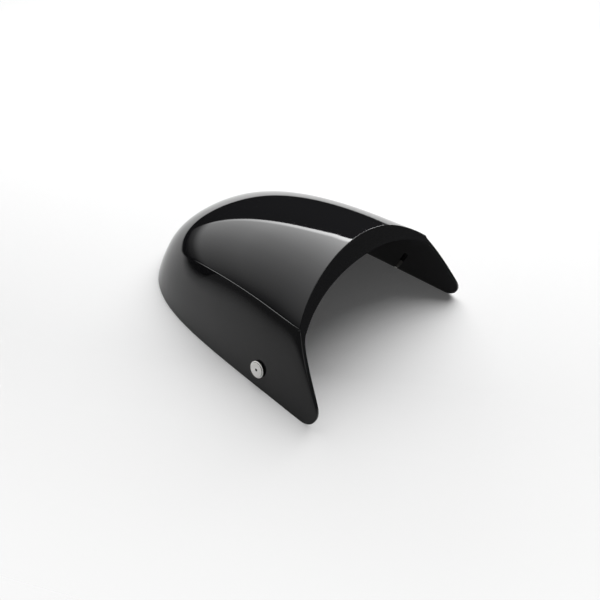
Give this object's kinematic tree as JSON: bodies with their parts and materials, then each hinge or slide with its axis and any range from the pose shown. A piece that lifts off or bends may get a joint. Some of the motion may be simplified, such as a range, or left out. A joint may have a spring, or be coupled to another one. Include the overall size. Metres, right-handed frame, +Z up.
{
  "type": "seat cowl",
  "caption": "Gloss black moulded motorbike seat cowl: a hollow hump, open in front and below, with a turned-in arched lip and a silver screw through each side wall.",
  "frame": {"origin": "centre of the rim's outline, on the plane that the rim rests on", "axes": "+X across the cowl, +Y from the open front to the tail, +Z up to the crown"},
  "size_m": [0.2374, 0.313, 0.111],
  "materials": {
    "gloss_shell": "smooth gloss black moulding, outside and inside",
    "silver_screw": "bright turned steel",
    "black_washer": "plain black rubber"
  },
  "bodies": {
    "root": {"cowl_shell": "gloss_shell", "side_screws": "silver_screw", "screw_washers": "black_washer"}
  },
  "joints": []
}
